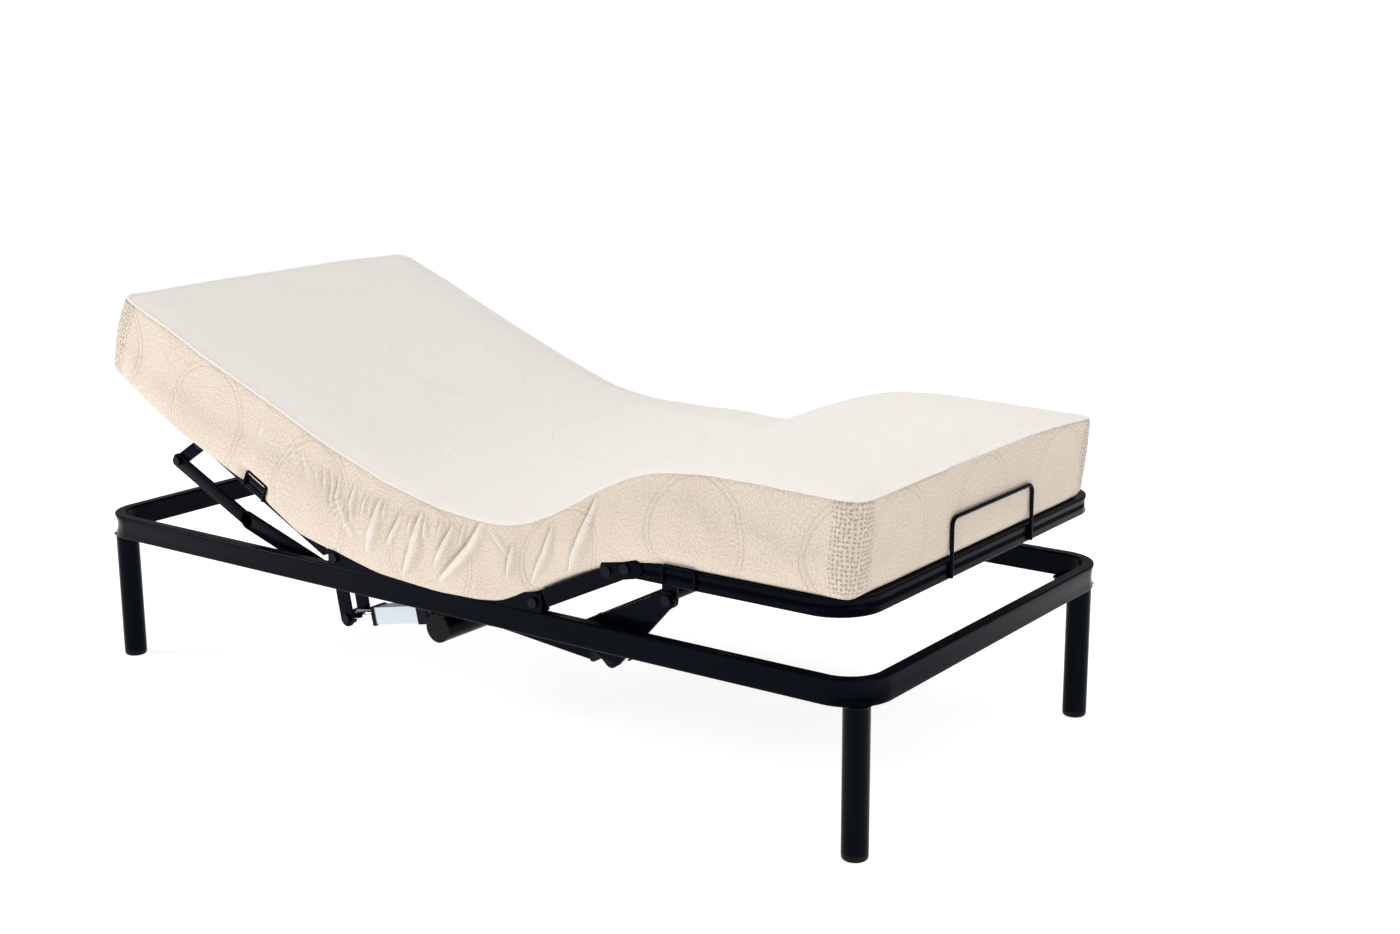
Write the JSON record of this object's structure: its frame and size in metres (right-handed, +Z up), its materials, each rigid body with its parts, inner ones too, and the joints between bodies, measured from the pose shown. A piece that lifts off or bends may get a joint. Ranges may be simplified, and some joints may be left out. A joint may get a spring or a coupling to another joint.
{
  "type": "adjustable bed base",
  "caption": "Powered adjustable bed base on round legs, with a raised head section, a bent knee section, linked lifting arms, linear actuators and a fitted foam mattress.",
  "frame": {"origin": "on the floor under the middle of the lower frame", "axes": "+X towards the foot end, +Y across the bed away from the actuators, +Z up"},
  "size_m": [2.032, 0.986, 0.8598],
  "materials": {
    "black_powder_coat": "gloss",
    "black_hardware": "satin",
    "chrome_rod": "polished",
    "clear_anodised": "satin",
    "black_plastic": "matte",
    "black_board": "matte",
    "mattress_cover": "matte"
  },
  "bodies": {
    "base": {"base_side_rails": "black_powder_coat", "base_head_bow": "black_powder_coat", "base_foot_bow": "black_powder_coat", "corner_gussets": "black_powder_coat", "legs": "black_powder_coat", "leg_glides": "black_plastic", "leg_bolts": "black_hardware", "seat_rails": "black_powder_coat", "seat_crossbars": "black_powder_coat", "seat_deck_board": "black_board", "cross_tube": "black_powder_coat", "cross_tube_caps": "black_plastic", "cross_tube_hangers": "black_powder_coat", "actuator_anchors": "black_powder_coat", "lift_bearings": "black_hardware", "hinge_bolts": "black_hardware", "control_box": "black_plastic", "mattress_seat": "mattress_cover"},
    "head_section": {"head_rails": "black_powder_coat", "head_end_bow": "black_powder_coat", "head_crossbars": "black_powder_coat", "head_deck_board": "black_board", "head_link_brackets": "black_powder_coat", "head_link_bolts": "black_hardware", "head_side_retainers": "black_hardware", "mattress_head": "mattress_cover"},
    "head_links": {"head_links": "black_powder_coat"},
    "head_lift": {"head_torque_tube": "black_powder_coat", "head_lift_bars": "black_powder_coat", "head_crank_plates": "black_powder_coat", "head_lift_bolts": "black_hardware", "head_crank_pin": "black_hardware"},
    "head_rod": {"head_actuator_rod": "chrome_rod"},
    "head_actuator": {"head_actuator_tube": "clear_anodised", "head_actuator_collar": "black_plastic", "head_actuator_gearbox": "black_plastic", "head_actuator_motor": "black_hardware"},
    "thigh_section": {"thigh_rails": "black_powder_coat", "thigh_crossbar": "black_powder_coat", "thigh_deck_board": "black_board", "knee_plates": "black_powder_coat", "knee_bolts": "black_hardware", "mattress_thigh": "mattress_cover"},
    "foot_section": {"foot_rails": "black_powder_coat", "foot_end_bow": "black_powder_coat", "foot_crossbars": "black_powder_coat", "foot_deck_board": "black_board", "foot_lift_brackets": "black_powder_coat", "foot_bracket_bolts": "black_hardware", "foot_end_retainer": "black_hardware", "foot_side_retainers": "black_hardware", "mattress_foot": "mattress_cover"},
    "foot_lift": {"foot_torque_tube": "black_powder_coat", "foot_lift_plates": "black_powder_coat", "foot_crank_pin": "black_hardware"},
    "foot_rod": {"foot_actuator_rod": "chrome_rod"},
    "foot_actuator": {"foot_actuator_tube": "black_powder_coat", "foot_actuator_collar": "black_plastic", "foot_actuator_gearbox": "black_plastic", "foot_actuator_motor": "black_hardware"}
  },
  "joints": [
    {"name": "head_raise", "type": "hinge", "parent": "base", "child": "head_section", "pos_m": [-0.255, 0, 0.3585], "axis": [0, 1, 0], "range_deg": [-27, 33]},
    {"name": "head_link_swing", "type": "hinge", "parent": "head_section", "child": "head_links", "pos_m": [-0.69697, 0, 0.53296], "axis": [0, 1, 0], "range_deg": [-33.5, 27.5]},
    {"name": "head_lift_turn", "type": "hinge", "parent": "base", "child": "head_lift", "pos_m": [-0.332, 0, 0.31], "axis": [0, 1, 0], "range_deg": [-27.5, 33.5]},
    {"name": "head_rod_swing", "type": "hinge", "parent": "head_lift", "child": "head_rod", "pos_m": [-0.311, 0, 0.197], "axis": [0, 1, 0], "range_deg": [-32.5, 26.5]},
    {"name": "head_actuator_stroke", "type": "slide", "parent": "head_rod", "child": "head_actuator", "axis": [0.9781, 0, 0.2082], "range_m": [-0.0535, 0.0645]},
    {"name": "thigh_raise", "type": "hinge", "parent": "base", "child": "thigh_section", "pos_m": [0.28, 0, 0.3585], "axis": [0, -1, 0], "range_deg": [-25, 10]},
    {"name": "knee_bend", "type": "hinge", "parent": "thigh_section", "child": "foot_section", "pos_m": [0.50658, 0, 0.46415], "axis": [0, -1, 0], "range_deg": [-10.5, 25.5]},
    {"name": "foot_lift_turn", "type": "hinge", "parent": "base", "child": "foot_lift", "pos_m": [0.341, 0, 0.298], "axis": [0, -1, 0], "range_deg": [-25.5, 10.5]},
    {"name": "foot_rod_swing", "type": "hinge", "parent": "foot_lift", "child": "foot_rod", "pos_m": [0.401, 0, 0.246], "axis": [0, -1, 0], "range_deg": [-9, 22]},
    {"name": "foot_actuator_stroke", "type": "slide", "parent": "foot_rod", "child": "foot_actuator", "axis": [-0.9961, 0, 0.0888], "range_m": [-0.0245, 0.0105]}
  ],
  "couplings": [
    {"joint": "head_link_swing", "follows": "head_raise", "ratio": -1},
    {"joint": "head_lift_turn", "follows": "head_raise", "ratio": 1},
    {"joint": "head_rod_swing", "follows": "head_raise", "ratio": -0.965},
    {"joint": "head_actuator_stroke", "follows": "head_raise", "m_per_rad": 0.11058},
    {"joint": "knee_bend", "follows": "thigh_raise", "ratio": -1},
    {"joint": "foot_lift_turn", "follows": "thigh_raise", "ratio": 1},
    {"joint": "foot_rod_swing", "follows": "thigh_raise", "ratio": -0.84},
    {"joint": "foot_actuator_stroke", "follows": "thigh_raise", "m_per_rad": 0.052712}
  ]
}
